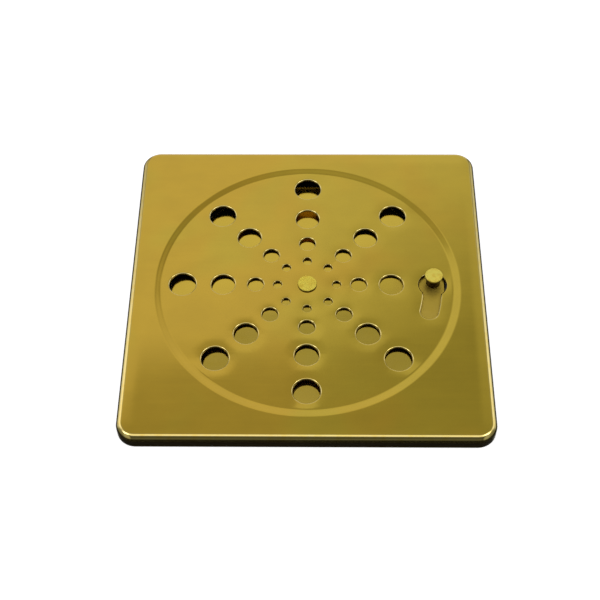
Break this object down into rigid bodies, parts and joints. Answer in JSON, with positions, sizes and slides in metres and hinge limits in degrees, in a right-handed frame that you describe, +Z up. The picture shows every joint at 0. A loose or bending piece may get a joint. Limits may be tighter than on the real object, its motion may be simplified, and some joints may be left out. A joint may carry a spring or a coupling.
{
  "type": "floor drain grate",
  "caption": "Square pressed-metal floor drain grate with round drain holes in a shallow dish and a rotary shut-off disc beneath, turned by a knob in an arc slot.",
  "frame": {"origin": "middle of the square, on the plane that the bottom edge of the skirt stands on", "axes": "+Z up, square to the grate's top; +X from the pivot to the closed position of the knob; +Y completes the right-handed frame"},
  "size_m": [0.15, 0.15, 0.0099],
  "materials": {
    "cover_sheet": "brushed, golden",
    "shutter_sheet": "plain rolled, golden",
    "rivet_brass": "bright, lightly hammered",
    "sleeve_brass": "turned, dull",
    "washer_brass": "plain stamped"
  },
  "bodies": {
    "cover": {"cover_plate": "cover_sheet", "pivot_rivet": "rivet_brass", "pivot_spacer": "washer_brass", "pivot_backing_washer": "washer_brass"},
    "shutter": {"shutter_disc": "shutter_sheet", "knob_rivet": "rivet_brass", "knob_sleeve": "sleeve_brass", "knob_backing_washer": "washer_brass"}
  },
  "joints": [
    {"name": "shutter_turn", "type": "hinge", "parent": "cover", "child": "shutter", "pos_m": [0, 0, 0.0046], "axis": [0, 0, 1], "range_deg": [-16.8, 0.6]}
  ]
}
